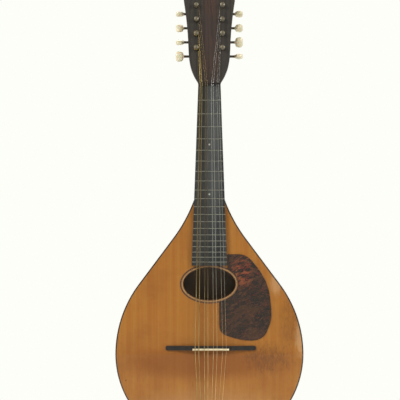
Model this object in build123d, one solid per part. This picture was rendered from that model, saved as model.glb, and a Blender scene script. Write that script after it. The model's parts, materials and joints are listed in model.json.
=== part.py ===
from build123d import *
import os
from math import cos, pi, radians, sin, tan

# A teardrop flat-back mandolin with a bent top. Millimetres. +Z runs up the neck to the head,
# the soundboard faces -Y and +X is the treble side. The origin is on the centre line, in the
# plane of the soundboard, at the face of the nut where the open strings start.

# ---- driving dimensions -------------------------------------------------------------------
SCALE_LENGTH = 330.2
FRET_COUNT = 20
TOP_THICKNESS = 2.5
BACK_THICKNESS = 2.5
SIDE_THICKNESS = 2.0
BODY_DEPTH = 60.0

# Plan of the body: a hollow shoulder curve, a straight flank, an upper and a lower bout curve.
BODY_TOP_Z = -147.0
BODY_TOP_HALF = 20.0
WIDEST_Z = -345.0
LOWER_BOUT_R = 120.9
UPPER_BOUT_R = 150.0
SHOULDER_R = 195.0
FLANK_ANGLE = 37.2
SHOULDER_START_ANGLE = 20.4

CREASE_Z = -345.0
CANT_ANGLE = 6.5
BINDING_WIDTH = 1.6

HOLE_Z = -254.6
HOLE_HALF_X = 33.4
HOLE_HALF_Z = 20.8
ROSETTE_WIDTH = 4.8
ROSETTE_DEPTH = 1.0

LINING_WIDTH = 4.5
LINING_HEIGHT = 7.0
NECK_BLOCK_END_Z = -184.0
TAIL_BLOCK_START_Z = -447.0

BOARD_THICKNESS = 5.5
BOARD_END_Z = -230.9
BOARD_HALF_NUT = 14.3
BOARD_HALF_END = 22.8
FRET_HEIGHT = 0.95
FRET_WIDTH = 1.1
TANG_WIDTH = 0.55
TANG_DEPTH = 2.0
DOT_R = 1.2
DOT_DEPTH = 1.2
DOT_POSITIONS = (5, 10)

NUT_THICKNESS = 4.0
NUT_HEIGHT = 7.45
NECK_DEPTH_NUT = 15.5
HEEL_CAP_GAP = 12.5

HEAD_TILT = 8.0
HEAD_WOOD = 12.5
VENEER = 1.5
HEAD_LENGTH = 123.5
HEAD_CORNER_R = 4.0
FACET_FRONT = (BOARD_HALF_NUT, 3.5, 4.0)
FACET_BACK = (9.5, 14.0, 4.0)
FACET_TOP = (24.0, 14.0, 22.0)
POST_X = 16.8
FIRST_POST = 45.3
POST_PITCH = 18.65

TOOTH_COUNT = 14
MODULE = 0.72
WORM_PITCH_R = 2.4
ADDENDUM = 0.5
DEDENDUM = 0.7
GEAR_FACE = 2.2
THREAD_TURNS = 4
THREAD_WIDTH = 0.75
TOOTH_WIDTH = 0.9
PLATE_THICKNESS = 1.0
POST_R = 3.02
POST_HOLE_R = 3.1
JOURNAL_R = 1.6
JOURNAL_HOLE_R = 1.66
LUG_INNER_FACE = 6.4
LUG_THICKNESS = 1.2
BUTTON_LENGTH = 9.8
BUTTON_WIDTH = 13.2
BUTTON_THICKNESS = 6.6
BUTTON_INNER_X = 33.4
BUTTON_TURNS = {"bass": (0, 67, 40, 90), "treble": (90, 31, 63, 78)}
SCREW_R = 1.1
SCREW_LENGTH = 8.0

GUARD_THICKNESS = 1.0
GUARD_BOARD_X = 23.4
GUARD_LEFT_X = 12.6
GUARD_TOP_Z = -216.4

BRIDGE_CENTRE_X = 1.7
BRIDGE_HALF = 58.0
BRIDGE_FRONT_Z = -334.0
BRIDGE_BACK_Z = -339.8
BRIDGE_HEIGHT = 8.3
BRIDGE_END_HEIGHT = 1.9
BRIDGE_END_ROUND = 2.2
SADDLE_BED = 4.6
SADDLE_HALF = 23.4
SADDLE_THICKNESS = 2.6
SADDLE_HEIGHT = 9.7

STRING_DIAMETERS = (0.97, 0.97, 0.61, 0.61, 0.36, 0.36, 0.26, 0.26)
STRING_POST_ROWS = (0, 1, 2, 3, 3, 2, 1, 0)
NUT_PAIR_PITCH = 7.1
NUT_PAIR_GAP = 2.3
BRIDGE_PAIR_PITCH = 11.8
BRIDGE_PAIR_GAP = 4.6
NUT_STRING_BED = 7.3
NUT_CONTACT_Z = 1.0
SADDLE_GAP = 0.04
WINDING_R = 3.9
WINDING_HEIGHT = 4.0

TAIL_BASE_HALF = 19.0
TAIL_BASE_LENGTH = 31.0
TAIL_SHEET = 1.0
TAIL_LIP_HEIGHT = 3.0
TAIL_DROP = 30.0
TAIL_PLATE_GAP = 0.1
COVER_SHEET = 0.8
COVER_HALF = 21.4
COVER_LENGTH = 40.0
COVER_HEIGHT = 6.4
COVER_NOSE_R = 26.0
HOOK_ROW = 17.0
HOOK_PITCH = 3.9
HOOK_HEIGHT = 3.4
END_PIN_Y = 37.0
END_PIN_R = 3.2

# ---- values worked out from them ----------------------------------------------------------
CENTRE_DISTANCE = WORM_PITCH_R + MODULE * TOOTH_COUNT / 2
LEAD = pi * MODULE
HEAD_BACK = VENEER + HEAD_WOOD
WORM_DEPTH = HEAD_BACK + PLATE_THICKNESS + WORM_PITCH_R + ADDENDUM + 0.25
CREASE_UNDER_Z = CREASE_Z - TOP_THICKNESS * tan(radians(CANT_ANGLE / 2))
TAIL_Z = WIDEST_Z - LOWER_BOUT_R
BACK_INSIDE = BODY_DEPTH - BACK_THICKNESS
FAR = 500.0

os.makedirs("parts", exist_ok=True)

HEAD = Plane(
    origin=(0, -VENEER, NUT_THICKNESS),
    x_dir=(1, 0, 0),
    z_dir=(0, -cos(radians(HEAD_TILT)), sin(radians(HEAD_TILT))),
)
TAIL = Plane(
    origin=(0, (CREASE_Z - TAIL_Z) * tan(radians(CANT_ANGLE)), TAIL_Z),
    x_dir=(1, 0, 0),
    z_dir=(0, -cos(radians(CANT_ANGLE)), -sin(radians(CANT_ANGLE))),
)


# ---- helpers ------------------------------------------------------------------------------
def fret_z(number):
    """Height of a fret below the nut in equal temperament."""
    return -SCALE_LENGTH * (1 - 2 ** (-number / 12))


def polar(centre, radius, angle):
    """Point at an angle in degrees on a circle."""
    return (centre[0] + radius * cos(radians(angle)), centre[1] + radius * sin(radians(angle)))


def arc(centre, radius, start, end):
    """Circular arc between two angles."""
    return ThreePointArc(*[polar(centre, radius, angle) for angle in (start, (start + end) / 2, end)])


def slab(face, y_low, y_high):
    """Plate with the given outline in X and Z, between two values of Y."""
    return Pos(0, y_low, 0) * extrude(Plane.XZ * face, amount=y_low - y_high)


def prism(points, half_width):
    """Solid with the given outline in Y and Z, the same on both sides of the centre line."""
    return extrude(Plane.YZ * make_face(Polyline(*points, close=True)), amount=half_width, both=True)


def block(x0, x1, y0, y1, z0, z1):
    """Box given by its limits."""
    return Pos((x0 + x1) / 2, (y0 + y1) / 2, (z0 + z1) / 2) * Box(abs(x1 - x0), abs(y1 - y0), abs(z1 - z0))


def rod(start, end, radius):
    """Cylinder between two points."""
    line = Vector(*end) - Vector(*start)
    return Plane(origin=start, z_dir=line) * Cylinder(
        radius, line.length, align=(Align.CENTER, Align.CENTER, Align.MIN)
    )


def save(name, *solids):
    """Write one node made of one or more separate solids."""
    shape = solids[0] if len(solids) == 1 else Compound(children=list(solids))
    shape.label = name
    export_step(shape, f"parts/{name}.step")


# ---- body ---------------------------------------------------------------------------------
def body_outline(inset):
    """Teardrop plan of the body, moved inwards by a distance, made of true arcs."""
    upper_centre = (LOWER_BOUT_R - UPPER_BOUT_R, WIDEST_Z)
    shoulder_centre = (
        BODY_TOP_HALF + SHOULDER_R * cos(radians(SHOULDER_START_ANGLE)),
        BODY_TOP_Z + SHOULDER_R * sin(radians(SHOULDER_START_ANGLE)),
    )
    shoulder = arc(shoulder_centre, SHOULDER_R + inset, 180 + SHOULDER_START_ANGLE, 180 + FLANK_ANGLE)
    upper = arc(upper_centre, UPPER_BOUT_R - inset, FLANK_ANGLE, 0)
    flank = Line(shoulder @ 1, upper @ 0)
    lower = arc((0, WIDEST_Z), LOWER_BOUT_R - inset, 0, -90)
    half = Curve() + [shoulder, flank, upper, lower]
    other = mirror(half, Plane.YZ)
    top = Line(shoulder @ 0, (-(shoulder @ 0).X, (shoulder @ 0).Y))
    return make_face(Curve() + [top, *half.edges(), *other.edges()])


def top_surface(depth):
    """Points down the top at a depth below its face, with the crease behind the bridge."""
    crease = CREASE_Z - depth * tan(radians(CANT_ANGLE / 2))
    fall = (crease + FAR) * tan(radians(CANT_ANGLE))
    return [(depth, 0), (depth, crease), (depth + fall, -FAR)]


def outline_column(inset):
    """Column with the plan of the body moved inwards, with a straight end at the neck."""
    column = slab(body_outline(inset), -1, BODY_DEPTH + 1)
    return column & block(-150, 150, -2, BODY_DEPTH + 2, -FAR, BODY_TOP_Z - inset)


def layer_region(shallow, deep):
    """Space between two depths below the face of the top."""
    return prism(top_surface(shallow) + top_surface(deep)[::-1], 150)


def cavity_region():
    """Space between the underside of the top and the inside of the back."""
    return prism(top_surface(TOP_THICKNESS) + [(BACK_INSIDE, -FAR), (BACK_INSIDE, 0)], 150)


def ellipse_plate(grow, y_low, y_high):
    """Oval plate round the centre of the sound hole."""
    return slab(Pos(0, HOLE_Z) * Ellipse(HOLE_HALF_X + grow, HOLE_HALF_Z + grow), y_low, y_high)


def tail_screw_places():
    """Centres of the three screws that hold the tailpiece to the end of the body."""
    return [(-12.0, 26.0), (12.0, 26.0), (0.0, 27.0)]


def drill_tail(shape):
    """Clear the end pin and the tailpiece screws."""
    shape -= rod((0, END_PIN_Y, TAIL_Z - 5), (0, END_PIN_Y, TAIL_Z + 16), END_PIN_R + 0.02)
    for x, y in tail_screw_places():
        shape -= rod((x, y, TAIL_Z - 5), (x, y, TAIL_Z + SCREW_LENGTH), SCREW_R + 0.02)
    return shape


def build_box():
    """Soundboard, back, sides, blocks, linings, braces and the two bindings."""
    full = outline_column(0)
    inside = outline_column(SIDE_THICKNESS)
    bound = outline_column(BINDING_WIDTH)
    lined = outline_column(SIDE_THICKNESS + LINING_WIDTH)
    cavity = cavity_region()

    top_layer = layer_region(0, TOP_THICKNESS)
    top_binding = (full - bound) & top_layer
    top_binding -= block(-18.4, 18.4, -2, 5, -152, BODY_TOP_Z + 1)
    soundboard = (full & top_layer) - top_binding
    soundboard -= ellipse_plate(0, -1, 4)
    rosette = ellipse_plate(ROSETTE_WIDTH, 0, ROSETTE_DEPTH) - ellipse_plate(0, -1, 4)
    soundboard -= rosette
    save("soundboard", soundboard)
    save("top_binding", top_binding)
    save("rosette", rosette)

    back_layer = block(-150, 150, BACK_INSIDE, BODY_DEPTH, -FAR, 0)
    back_binding = (full - bound) & back_layer
    back_binding -= block(-HEEL_CAP_GAP, HEEL_CAP_GAP, 50, 65, -152, BODY_TOP_Z + 1)
    save("back_plate", (full & back_layer) - back_binding)
    save("back_binding", back_binding)

    sides = ((full - inside) & cavity) - tenon(0)
    sides = drill_tail(sides)
    save("side_bass", sides & block(-150, 0, -5, 80, -FAR, 0))
    save("side_treble", sides & block(0, 150, -5, 80, -FAR, 0))

    neck_block = (inside & block(-60, 60, 0, 80, NECK_BLOCK_END_Z, BODY_TOP_Z)) & cavity
    neck_block -= tenon(0)
    tail_block = (inside & block(-42, 42, 0, 80, -FAR, TAIL_BLOCK_START_Z)) & cavity
    tail_block = drill_tail(tail_block)
    save("neck_block", neck_block)
    save("tail_block", tail_block)

    blocks = block(-60, 60, 0, 80, NECK_BLOCK_END_Z, 0) + block(-42, 42, 0, 80, -FAR, TAIL_BLOCK_START_Z)
    ring = (inside - lined) - blocks
    top_lining = ring & layer_region(TOP_THICKNESS, TOP_THICKNESS + LINING_HEIGHT)
    back_lining = ring & block(-150, 150, BACK_INSIDE - LINING_HEIGHT, BACK_INSIDE, -FAR, 0)
    save("linings", *top_lining.solids(), *back_lining.solids())

    top_bars = []
    for z, depth in ((-213.0, 9.0), (-291.0, 10.0), (CREASE_UNDER_Z, 12.0)):
        bar = block(-150, 150, 0, TOP_THICKNESS + depth, z - 3.5, z + 3.5)
        top_bars.append(lined & bar & cavity)
    save("soundboard_braces", *top_bars)

    back_bars = []
    for z in (-215.0, -280.0, -345.0, -405.0):
        bar = block(-150, 150, BACK_INSIDE - 11, BACK_INSIDE, z - 3.5, z + 3.5)
        back_bars.append(lined & bar)
    save("back_braces", *back_bars)


def tenon(shrink):
    """Tenon of the neck that fills the mortise of the neck block."""
    return block(-9 + shrink, 9 - shrink, TOP_THICKNESS, BACK_INSIDE - 6, BODY_TOP_Z - 18, BODY_TOP_Z)


def build_pickguard():
    """Thin plate on the treble side of the hole, which follows the rosette."""
    board_side = (GUARD_BOARD_X, GUARD_TOP_Z)
    right = [(36.0, GUARD_TOP_Z), (58.5, -229.5), (74.2, -256.0), (79.4, -290.0), (73.5, -316.5)]
    lower = [right[-1], (48.0, -327.0), (22.5, -321.0), (GUARD_LEFT_X, -303.0)]
    outline = make_face(
        Curve()
        + [
            Line((GUARD_BOARD_X, -240.0), board_side),
            Line(board_side, right[0]),
            Spline(*right, tangents=((1, 0), (-0.45, -1))),
            Spline(*lower, tangents=((-0.45, -1), (0, 1))),
            Line(lower[-1], (GUARD_LEFT_X, -270.0)),
            Line((GUARD_LEFT_X, -270.0), (GUARD_BOARD_X, -240.0)),
        ]
    )
    guard = slab(outline, -GUARD_THICKNESS, 0) - ellipse_plate(ROSETTE_WIDTH - 0.6, -3, 3)
    save("pickguard", guard.solids().sort_by(SortBy.VOLUME)[-1])


def build_bridge():
    """Long low bridge foot with a short bone saddle set into its tail edge."""
    slope = [
        (BRIDGE_HALF, -BRIDGE_END_HEIGHT),
        (SADDLE_HALF + 18.0, -3.3),
        (SADDLE_HALF + 7.0, -5.4),
        (SADDLE_HALF + 1.5, -BRIDGE_HEIGHT),
    ]
    curve = Spline(*slope, tangents=((-1, -0.05), (-0.35, -1)))
    base = Line((0, 0), (BRIDGE_HALF, 0))
    half = Curve() + [base, Line(base @ 1, slope[0]), curve, Line(slope[-1], (0, -BRIDGE_HEIGHT))]
    profile = Plane.XY * make_face(half + mirror(half, Plane.YZ).edges())
    foot = Pos(0, 0, BRIDGE_BACK_Z) * extrude(profile, amount=BRIDGE_FRONT_Z - BRIDGE_BACK_Z)
    ends = foot.edges().filter_by(Axis.Y).group_by(Axis.X)
    foot = fillet([*ends[0], *ends[-1]], BRIDGE_END_ROUND)
    saddle_front = BRIDGE_BACK_Z + SADDLE_THICKNESS
    foot -= block(-SADDLE_HALF, SADDLE_HALF, -20, -SADDLE_BED, BRIDGE_BACK_Z, saddle_front)
    saddle = block(-SADDLE_HALF, SADDLE_HALF, -SADDLE_HEIGHT, -SADDLE_BED, BRIDGE_BACK_Z, saddle_front)
    saddle = fillet(saddle.faces().sort_by(Axis.Y)[0].edges().filter_by(Axis.X), 1.25)
    shift = Pos(BRIDGE_CENTRE_X, 0, 0)
    save("bridge_base", shift * foot)
    save("bridge_saddle", shift * saddle)


# ---- neck, board and head -----------------------------------------------------------------
def board_half(z):
    """Half width of the fingerboard at a height."""
    return BOARD_HALF_NUT + (BOARD_HALF_END - BOARD_HALF_NUT) * z / BOARD_END_Z


def neck_section(z, half, depth):
    """Half oval section of the neck, flat in front."""
    curve = EllipticalCenterArc((0, 0), half, depth, start_angle=0, arc_size=180)
    return Plane(origin=(0, 0, z), x_dir=(1, 0, 0), z_dir=(0, 0, 1)) * make_face(
        Curve() + [curve, Line((-half, 0), (half, 0))]
    )


def build_neck():
    """Neck with heel, tenon and tilted head in one piece of wood, and its heel cap."""
    shaft_end = -112.0
    heel_rows = ((shaft_end, 18.5), (-124.0, 24.0), (-134.0, 36.0), (-142.0, 56.0), (BODY_TOP_Z, 76.0))
    shaft = loft(
        [
            neck_section(NUT_THICKNESS, board_half(0), NECK_DEPTH_NUT - 0.4),
            neck_section(shaft_end, board_half(shaft_end), 18.5),
        ]
    )
    heel = loft([neck_section(z, board_half(z), depth) for z, depth in heel_rows])
    cut_heel = heel - block(-40, 40, BACK_INSIDE, 90, BODY_TOP_Z, NUT_THICKNESS)
    save("neck", shaft + cut_heel + tenon(0.02) + head_wood())
    save("heel_cap", heel & block(-40, 40, BACK_INSIDE, BODY_DEPTH, BODY_TOP_Z, 0))


def head_outline():
    """Paddle head that widens upwards, in the plane of its face, with its top corners rounded."""
    right = [
        (BOARD_HALF_NUT, -3.0),
        (16.4, 2.6),
        (21.4, 12.8),
        (25.9, 31.0),
        (27.4, 56.0),
        (31.9, 101.5),
        (34.0, 118.0),
    ]
    side = Spline(*right, tangents=((0, 1), (0.1, 1)))
    crown = ThreePointArc(right[-1], (0, HEAD_LENGTH), (-right[-1][0], right[-1][1]))
    bottom = Line((-right[0][0], right[0][1]), right[0])
    face = make_face(Curve() + [side, *mirror(side, Plane.YZ).edges(), crown, bottom])
    return fillet(face.vertices().sort_by(Axis.Y)[-2:], HEAD_CORNER_R)


def shaft_facet():
    """Wedge off the treble side of the head's root, where the head runs into the shaft."""
    front, back, top = Vector(*FACET_FRONT), Vector(*FACET_BACK), Vector(*FACET_TOP)
    outwards = (back - front).cross(top - front)
    cut = Plane(origin=front, z_dir=outwards)
    return cut * Box(90, 90, 30, align=(Align.CENTER, Align.CENTER, Align.MIN))


def head_wood():
    """Wood of the head with its post holes, its screw holes and the two facets at its root."""
    wood = Pos(0, 0, -HEAD_BACK) * extrude(head_outline(), amount=HEAD_WOOD)
    wood -= post_holes()
    for x, y in plate_screw_places():
        wood -= Pos(x, y, -HEAD_BACK) * Cylinder(SCREW_R + 0.02, 2 * SCREW_LENGTH)
    facet = shaft_facet()
    return HEAD * wood - block(-60, 60, -30, 0, -20, NUT_THICKNESS) - facet - mirror(facet, Plane.YZ)


def post_places():
    """Side, number, X and distance up the head of every string post."""
    return [
        (side, i + 1, sign * POST_X, FIRST_POST + i * POST_PITCH)
        for side, sign in (("bass", -1), ("treble", 1))
        for i in range(4)
    ]


def post_holes():
    """Through holes for the eight posts."""
    holes = [Pos(x, y, 0) * Cylinder(POST_HOLE_R, 60) for _, _, x, y in post_places()]
    return Part() + holes


def plate_screw_places():
    """Places of the screws that hold the two tuner plates."""
    top = FIRST_POST + 3 * POST_PITCH
    places = []
    for sign in (-1, 1):
        places += [(sign * (POST_X - 7.6), FIRST_POST + i * POST_PITCH) for i in range(4)]
        places += [(sign * POST_X, top + 7.2), (sign * POST_X, FIRST_POST - CENTRE_DISTANCE - 6.2)]
    return places


def build_head_trim():
    """Dark veneer on the face of the head."""
    veneer = Pos(0, 0, -VENEER) * extrude(head_outline(), amount=VENEER) - post_holes()
    save("headstock_veneer", HEAD * veneer - block(-60, 60, -30, 30, -20, NUT_THICKNESS))


def build_fingerboard():
    """Board with fret slots, frets pressed into them and pearl dots."""
    outline = make_face(
        Polyline(
            (-BOARD_HALF_NUT, 0),
            (BOARD_HALF_NUT, 0),
            (BOARD_HALF_END, BOARD_END_Z),
            (-BOARD_HALF_END, BOARD_END_Z),
            close=True,
        )
    )
    board = slab(outline, -BOARD_THICKNESS, 0)
    frets = []
    edge = -BOARD_THICKNESS
    for number in range(1, FRET_COUNT + 1):
        z = fret_z(number)
        half = board_half(z)
        low, high = z - TANG_WIDTH / 2, z + TANG_WIDTH / 2
        tang = block(-half, half, edge - 0.1, edge + TANG_DEPTH, low, high)
        board -= block(-40, 40, edge - 1, edge + TANG_DEPTH, low, high)
        foot, top = (edge, z - FRET_WIDTH / 2), (edge, z + FRET_WIDTH / 2)
        crown_face = make_face(Curve() + [Line(foot, top), ThreePointArc(top, (edge - FRET_HEIGHT, z), foot)])
        crown = extrude(Plane.YZ * crown_face, amount=half - 0.2, both=True)
        frets.append(crown + tang)
    dots = []
    for position in DOT_POSITIONS:
        z = (fret_z(position) + fret_z(position - 1)) / 2
        dot = rod((0, -BOARD_THICKNESS, z), (0, DOT_DEPTH - BOARD_THICKNESS, z), DOT_R)
        dots.append(dot)
        board -= dot
    save("fingerboard", board)
    save("frets", *frets)
    save("position_dots", *dots)


# ---- strings ------------------------------------------------------------------------------
def paired(pair_pitch, pair_gap, centre=0.0):
    """X of eight strings in four pairs, from the lowest sounding to the highest."""
    return [centre + (pair - 1.5) * pair_pitch + side * pair_gap / 2 for pair in range(4) for side in (-1, 1)]


def hook_places():
    """X of the eight tailpiece hooks."""
    return [(i - 3.5) * HOOK_PITCH for i in range(8)]


def head_point(x, up, out):
    """Point in front of the head's face, in the object's own frame."""
    tilt = radians(HEAD_TILT)
    y = -VENEER + up * sin(tilt) - out * cos(tilt)
    z = NUT_THICKNESS + up * cos(tilt) + out * sin(tilt)
    return (x, y, z)


def tail_point(x, up, out):
    """Point over the canted end of the top."""
    cant = radians(CANT_ANGLE)
    origin = TAIL.origin
    return (x, origin.Y - up * sin(cant) - out * cos(cant), origin.Z + up * cos(cant) - out * sin(cant))


def string_route(number):
    """Corner points of one string: hook, saddle, nut and the side of its post."""
    radius = STRING_DIAMETERS[number] / 2
    hook_x = hook_places()[number]
    bridge_x = paired(BRIDGE_PAIR_PITCH, BRIDGE_PAIR_GAP, BRIDGE_CENTRE_X)[number]
    nut_x = paired(NUT_PAIR_PITCH, NUT_PAIR_GAP)[number]
    post_x = -POST_X if number < 4 else POST_X
    post_up = FIRST_POST + STRING_POST_ROWS[number] * POST_PITCH
    towards_centre = -1 if post_x > 0 else 1
    lift = WINDING_HEIGHT - 0.8 + 1.6 * (STRING_POST_ROWS[number] % 2)
    end_x = post_x + towards_centre * (WINDING_R + 0.12 + radius)
    return [
        tail_point(hook_x, HOOK_ROW + 0.9 + radius, TAIL_SHEET + 0.9 + radius),
        (bridge_x, -SADDLE_HEIGHT - SADDLE_GAP - radius, BRIDGE_BACK_Z + SADDLE_THICKNESS / 2),
        (nut_x, -NUT_STRING_BED - radius, NUT_CONTACT_Z),
        head_point(end_x, post_up + 1.0, lift),
    ]


def build_strings():
    """Eight strings, each along its whole straight-run route, with rounded corners."""
    strings = []
    for number, diameter in enumerate(STRING_DIAMETERS):
        route = string_route(number)
        string = Part()
        for start, end in zip(route, route[1:]):
            string += rod(start, end, diameter / 2)
        for corner in route[1:3]:
            string += Pos(*corner) * Sphere(diameter / 2)
        strings.append(string)
    save("strings", *strings)


def build_nut():
    """Nut across the end of the board, notched for the strings."""
    nut = block(-BOARD_HALF_NUT, BOARD_HALF_NUT, -NUT_HEIGHT, 0, 0, NUT_THICKNESS)
    nut = fillet(nut.edges().filter_by(Axis.X).sort_by(Axis.Y)[:2], 0.8)
    for number, diameter in enumerate(STRING_DIAMETERS):
        route = string_route(number)
        for start, end in zip(route[1:], route[2:]):
            nut -= rod(start, end, diameter / 2 + 0.03)
        nut -= Pos(*route[2]) * Sphere(diameter / 2 + 0.03)
    save("nut", nut)


# ---- tailpiece ----------------------------------------------------------------------------
def build_tailpiece():
    """Folded base plate with hooks, the sliding cover over it and the end pin."""
    base = block(-TAIL_BASE_HALF, TAIL_BASE_HALF, -1.0, TAIL_BASE_LENGTH, 0, TAIL_SHEET)
    lip = TAIL_BASE_HALF - TAIL_SHEET / 2
    for x in (-lip, lip):
        base += block(x - TAIL_SHEET / 2, x + TAIL_SHEET / 2, -1.0, TAIL_BASE_LENGTH, 0, TAIL_LIP_HEIGHT)
    for x in hook_places():
        base += Pos(x, HOOK_ROW, TAIL_SHEET + HOOK_HEIGHT / 2 - 0.5) * Box(1.4, 0.8, HOOK_HEIGHT - 1.0)
    base = TAIL * base
    outside = TAIL_Z - TAIL_PLATE_GAP
    y_low, y_high = TAIL.origin.Y - 1.1, TAIL.origin.Y + TAIL_DROP
    drop = block(-TAIL_BASE_HALF, TAIL_BASE_HALF, y_low, y_high, outside - TAIL_SHEET, outside)
    drop = fillet(drop.edges().filter_by(Axis.Z).sort_by(Axis.Y)[-2:], 8.0)
    save("tailpiece_base", drill_tail(base + drop))

    length = COVER_LENGTH - 3.0
    shell = block(-COVER_HALF, COVER_HALF, -1.6, length, 0.3, COVER_HEIGHT)
    shell = fillet(shell.edges().filter_by(Axis.Y).sort_by(Axis.Z)[-2:], 2.6)
    hollow_half = COVER_HALF - COVER_SHEET
    hollow = block(-hollow_half, hollow_half, -10.0, length + 8.0, -1.0, COVER_HEIGHT - COVER_SHEET)
    hollow = fillet(hollow.edges().filter_by(Axis.Y).sort_by(Axis.Z)[-2:], 1.8)
    nose = Pos(0, length - COVER_NOSE_R, 0) * Cylinder(COVER_NOSE_R, 40)
    keep = nose + block(-40, 40, -10, length - 12.0, -20, 20)
    save("tailpiece_cover", TAIL * ((shell - hollow) & keep))

    pin = rod((0, END_PIN_Y, TAIL_Z - 2.0), (0, END_PIN_Y, TAIL_Z + 15), END_PIN_R)
    profile = [(0, 0), (6.2, 0), (4.0, 3.4), (3.9, 5.0), (6.6, 8.4), (6.6, 10.0), (5.2, 11.4), (0, 12.0)]
    head = revolve(Plane.XZ * make_face(Polyline(*profile, close=True)), Axis.Z)
    save("end_pin", pin + Pos(0, END_PIN_Y, TAIL_Z - 1.1) * Rot(180, 0, 0) * head)


# ---- tuners -------------------------------------------------------------------------------
def worm_shaft():
    """Worm with its journals and outward shaft along +X, its thread in phase at X = 0."""
    helix = Helix(pitch=LEAD, height=LEAD * THREAD_TURNS, radius=WORM_PITCH_R)
    foot = -DEDENDUM - 0.15
    root = THREAD_WIDTH / 2 + 0.33
    crest = THREAD_WIDTH / 2 - 0.18
    section = Plane(origin=helix @ 0, x_dir=(1, 0, 0), z_dir=helix % 0) * make_face(
        Polyline((foot, -root), (ADDENDUM, -crest), (ADDENDUM, crest), (foot, root), close=True)
    )
    thread = Pos(0, 0, -LEAD * THREAD_TURNS / 2) * sweep(section, path=helix, is_frenet=True)
    core = Cylinder(WORM_PITCH_R - DEDENDUM, 2 * (LUG_INNER_FACE - 0.12))
    inner = -LUG_INNER_FACE - LUG_THICKNESS - 0.7
    outer = BUTTON_INNER_X - POST_X + 5.0
    journal = Pos(0, 0, (inner + outer) / 2) * Cylinder(JOURNAL_R, outer - inner)
    turned = Plane(origin=(0, 0, 0), x_dir=(0, 1, 0), z_dir=(1, 0, 0))
    return turned * (core + journal + thread)


def button():
    """Oval knob pressed on the end of the worm shaft, wide in Z at no turn."""
    blank = extrude(Ellipse(BUTTON_LENGTH / 2, BUTTON_WIDTH / 2), amount=BUTTON_THICKNESS / 2, both=True)
    blank = fillet(blank.edges(), BUTTON_THICKNESS / 2 - 0.7)
    blank += Rot(0, 90, 0) * Pos(0, 0, -BUTTON_LENGTH / 2 + 1.0) * Cylinder(2.6, 2.6)
    middle = BUTTON_INNER_X - POST_X + BUTTON_LENGTH / 2 + 0.3
    knob = Pos(middle, 0, 0) * blank
    bore = Pos(BUTTON_INNER_X - POST_X, 0, 0) * Rot(0, 90, 0) * Cylinder(JOURNAL_R, 10.0)
    return knob - bore


def gear():
    """Straight-toothed wheel with a space towards the worm at rest."""
    pitch_r = MODULE * TOOTH_COUNT / 2
    tip = pitch_r + ADDENDUM - 0.05
    root = pitch_r - DEDENDUM
    foot = root - 0.4
    wide = TOOTH_WIDTH / 2 + 0.25
    narrow = TOOTH_WIDTH / 2 - 0.17
    tooth = make_face(Polyline((foot, -wide), (tip, -narrow), (tip, narrow), (foot, wide), close=True))
    step = 360 / TOOTH_COUNT
    profile = Sketch() + Circle(root)
    for i in range(TOOTH_COUNT):
        profile += Rot(0, 0, -90 + step / 2 + i * step) * tooth
    profile -= Circle(1.2)
    return extrude(profile, amount=GEAR_FACE / 2, both=True)


def gear_screw():
    """Screw through the gear into the end of the post."""
    head_height = 1.1
    head = Cylinder(2.3, head_height, align=(Align.CENTER, Align.CENTER, Align.MAX))
    head = fillet(head.edges().sort_by(Axis.Z)[0], 0.5)
    head -= Pos(0, 0, -head_height) * Box(6, 0.6, 1.0)
    shank = Pos(0, 0, 2.4) * Cylinder(1.15, 5.0)
    return head + shank


def string_post():
    """Post with a rounded cap, a waist for the string and a cross hole."""
    foot = GEAR_FACE / 2 - WORM_DEPTH
    post = Pos(0, 0, foot) * Cylinder(POST_R, 8.2 - foot, align=(Align.CENTER, Align.CENTER, Align.MIN))
    post -= Pos(0, 0, WINDING_HEIGHT + 0.2) * (Cylinder(POST_R + 1, 4.4) - Cylinder(2.5, 4.4))
    post = fillet(post.edges().sort_by(Axis.Z)[-1], 0.9)
    post -= Pos(0, 0, WINDING_HEIGHT + 0.2) * Rot(90, 0, 0) * Cylinder(0.65, 10)
    post -= Pos(0, 0, foot) * Cylinder(1.15, 7.4)
    return post


def winding():
    """Turns of string wound on the waist of the post, as one closed sleeve."""
    return Pos(0, 0, WINDING_HEIGHT - 0.2) * (Cylinder(WINDING_R, 2.8) - Cylinder(2.52, 2.8))


def build_tuners():
    """Eight geared tuners, each with button, worm shaft, gear and post."""
    shaft = worm_shaft()
    knob = button()
    wheel = gear()
    wheel_screw = gear_screw()
    post = string_post()
    sleeve = winding()
    for side, number, x, y in post_places():
        name = f"{side}_{number}"
        turn = 180 if side == "bass" else 0
        at_worm = HEAD * (Pos(x, y - CENTRE_DISTANCE, -WORM_DEPTH) * Rot(0, turn, 0))
        at_gear = HEAD * Pos(x, y, -WORM_DEPTH)
        at_post = HEAD * Pos(x, y, 0)
        button_turn = BUTTON_TURNS[side][number - 1]
        save(f"{name}_worm_shaft", at_worm * shaft)
        save(f"{name}_button", at_worm * Rot(button_turn, 0, 0) * knob)
        save(f"{name}_gear", at_gear * wheel, at_gear * Pos(0, 0, -GEAR_FACE / 2) * wheel_screw)
        save(f"{name}_post", at_post * post, at_post * sleeve)


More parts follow.
